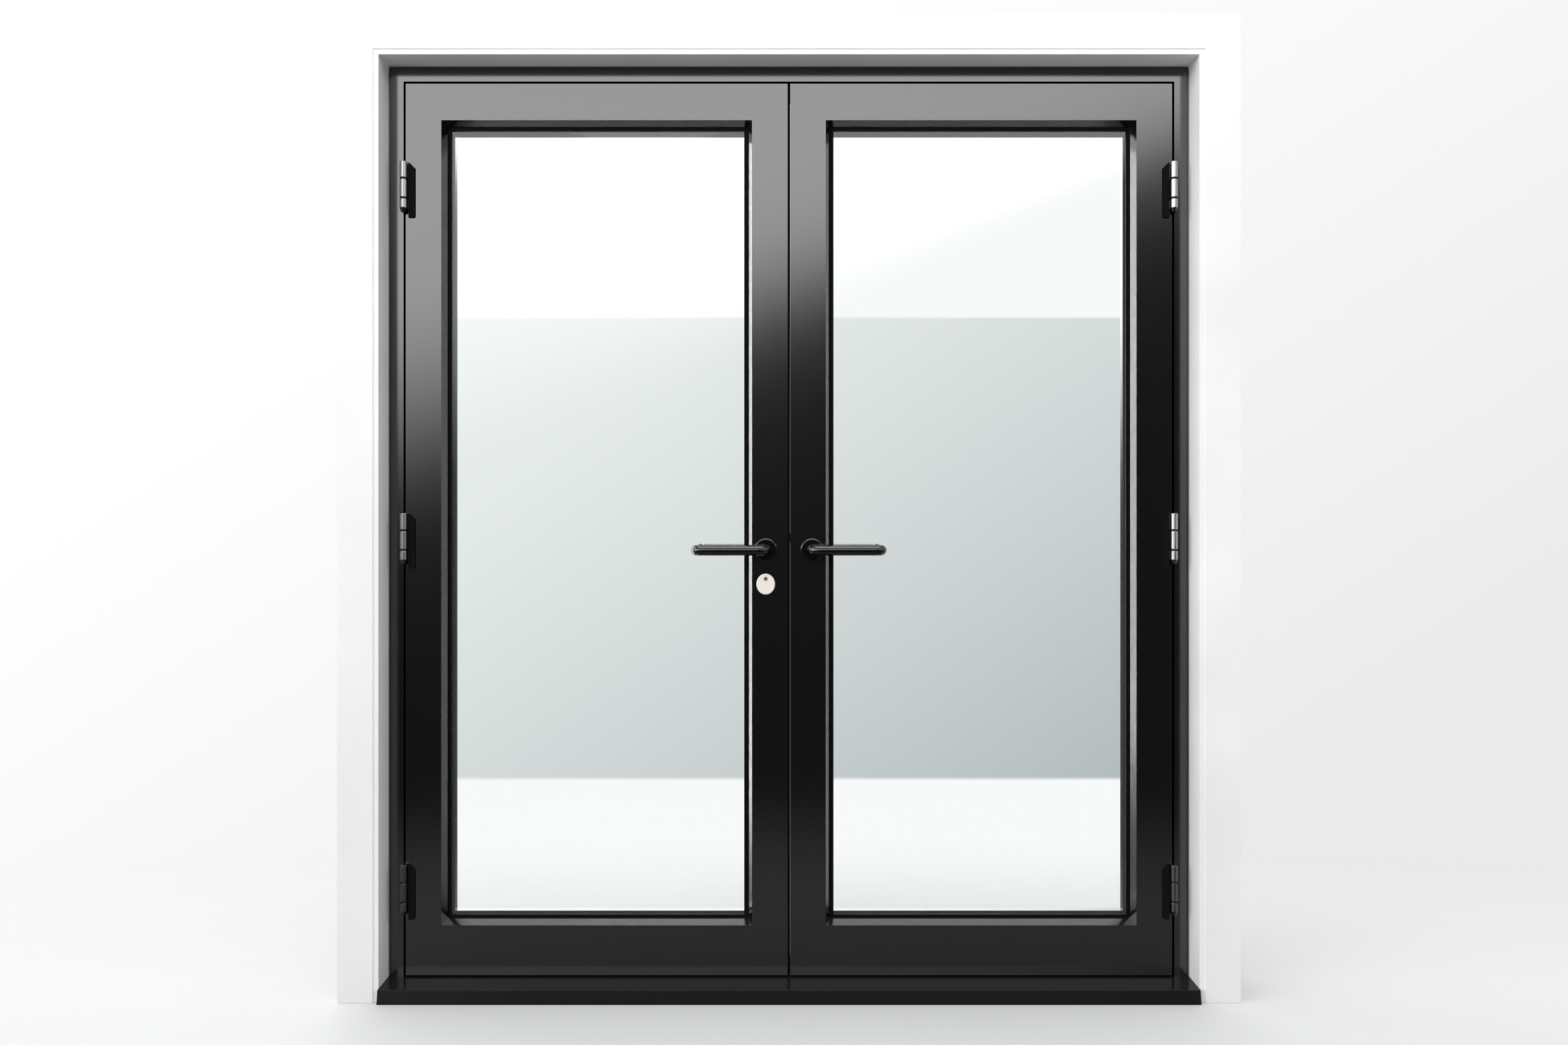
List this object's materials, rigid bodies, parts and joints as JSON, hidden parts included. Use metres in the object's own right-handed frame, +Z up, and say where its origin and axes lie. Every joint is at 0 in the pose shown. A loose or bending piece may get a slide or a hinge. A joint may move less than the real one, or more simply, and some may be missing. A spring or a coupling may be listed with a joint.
{
  "type": "french doors",
  "caption": "Hinged double glazed doors in an aluminium frame with sill, painted casing and lining, lever handles, lock and shoot bolts.",
  "frame": {"origin": "on the floor under the sill, midway between the jambs, below the front face of the closed leaves", "axes": "+X along the doors, to the right seen from outside; +Y from outside into the room; +Z up"},
  "size_m": [1.983, 0.222, 2.173],
  "materials": {
    "black_paint": "gloss black powder coat",
    "white_paint": "satin white paint",
    "glass": "clear",
    "seal_rubber": "matt black",
    "cast_aluminium": "as cast",
    "hinge_metal": "polished dark nickel",
    "steel": "satin",
    "washer_plastic": "matt black",
    "lever_black": "gloss black",
    "nickel": "satin nickel"
  },
  "bodies": {
    "frame": {"casing_head": "white_paint", "casing_left": "white_paint", "casing_right": "white_paint", "frame_corner_cleats": "cast_aluminium", "frame_head": "black_paint", "frame_hinge_leaves": "hinge_metal", "frame_left_jamb": "black_paint", "frame_right_jamb": "black_paint", "frame_seal": "seal_rubber", "lining_head": "white_paint", "lining_left": "white_paint", "lining_right": "white_paint", "sill": "black_paint", "hinge_pins": "hinge_metal", "hinge_washers": "washer_plastic", "hinge_screws": "steel", "bolt_keeps": "steel"},
    "left_leaf": {"left_bottom_rail": "black_paint", "left_corner_cleats": "cast_aluminium", "left_escutcheons": "nickel", "left_gaskets": "seal_rubber", "left_hinge_leaves": "hinge_metal", "left_hinge_stile": "black_paint", "left_inner_beads": "black_paint", "left_lock_case": "steel", "left_lock_cylinder": "nickel", "left_lock_faceplate": "steel", "left_lock_stile": "black_paint", "left_meeting_seal": "seal_rubber", "left_outer_beads": "black_paint", "left_panes": "glass", "left_roses": "lever_black", "left_spacer": "washer_plastic", "left_top_rail": "black_paint"},
    "right_leaf": {"right_bottom_rail": "black_paint", "right_corner_cleats": "cast_aluminium", "right_gaskets": "seal_rubber", "right_gearbox": "steel", "right_hinge_leaves": "hinge_metal", "right_hinge_stile": "black_paint", "right_inner_beads": "black_paint", "right_lock_stile": "black_paint", "right_outer_beads": "black_paint", "right_panes": "glass", "right_roses": "lever_black", "right_spacer": "washer_plastic", "right_strike_plate": "steel", "right_top_rail": "black_paint"},
    "left_lever": {"left_outer_lever": "lever_black", "left_inner_lever": "lever_black", "left_spindle": "steel"},
    "right_lever": {"right_outer_lever": "lever_black", "right_inner_lever": "lever_black", "right_spindle": "steel"},
    "latch": {"latch_bolt": "steel"},
    "deadbolt": {"deadbolt": "steel"},
    "lock_plug": {"cylinder_plug": "nickel"},
    "top_bolt": {"top_shoot_bolt": "steel"},
    "bottom_bolt": {"bottom_shoot_bolt": "steel"}
  },
  "joints": [
    {"name": "left_leaf_swing", "type": "hinge", "parent": "frame", "child": "left_leaf", "pos_m": [-0.8645, -0.0095, 1.025], "axis": [0, 0, -1], "range_deg": [0, 105]},
    {"name": "right_leaf_swing", "type": "hinge", "parent": "frame", "child": "right_leaf", "pos_m": [0.8645, -0.0095, 1.025], "axis": [0, 0, 1], "range_deg": [0, 105]},
    {"name": "left_lever_turn", "type": "hinge", "parent": "left_leaf", "child": "left_lever", "pos_m": [-0.052, 0, 0.993], "axis": [0, -1, 0], "range_deg": [0, 40], "stiffness_Nm_per_rad": 2, "springref_deg": -57.3},
    {"name": "right_lever_turn", "type": "hinge", "parent": "right_leaf", "child": "right_lever", "pos_m": [0.052, 0, 0.993], "axis": [0, 1, 0], "range_deg": [0, 40], "stiffness_Nm_per_rad": 2, "springref_deg": -57.3},
    {"name": "latch_slide", "type": "slide", "parent": "left_leaf", "child": "latch", "axis": [-1, 0, 0], "range_m": [0, 0.011]},
    {"name": "plug_turn", "type": "hinge", "parent": "left_leaf", "child": "lock_plug", "pos_m": [-0.052, 0, 0.928], "axis": [0, 1, 0], "range_deg": [0, 90]},
    {"name": "deadbolt_slide", "type": "slide", "parent": "left_leaf", "child": "deadbolt", "axis": [1, 0, 0], "range_m": [0, 0.014]},
    {"name": "top_bolt_slide", "type": "slide", "parent": "right_leaf", "child": "top_bolt", "axis": [0, 0, -1], "range_m": [0, 0.018]},
    {"name": "bottom_bolt_slide", "type": "slide", "parent": "right_leaf", "child": "bottom_bolt", "axis": [0, 0, 1], "range_m": [0, 0.018]}
  ],
  "couplings": [
    {"joint": "latch_slide", "follows": "left_lever_turn", "m_per_rad": 0.0157},
    {"joint": "plug_turn", "follows": "deadbolt_slide", "rad_per_m": 112.1},
    {"joint": "top_bolt_slide", "follows": "right_lever_turn", "m_per_rad": 0.0257},
    {"joint": "bottom_bolt_slide", "follows": "right_lever_turn", "m_per_rad": 0.0257}
  ]
}
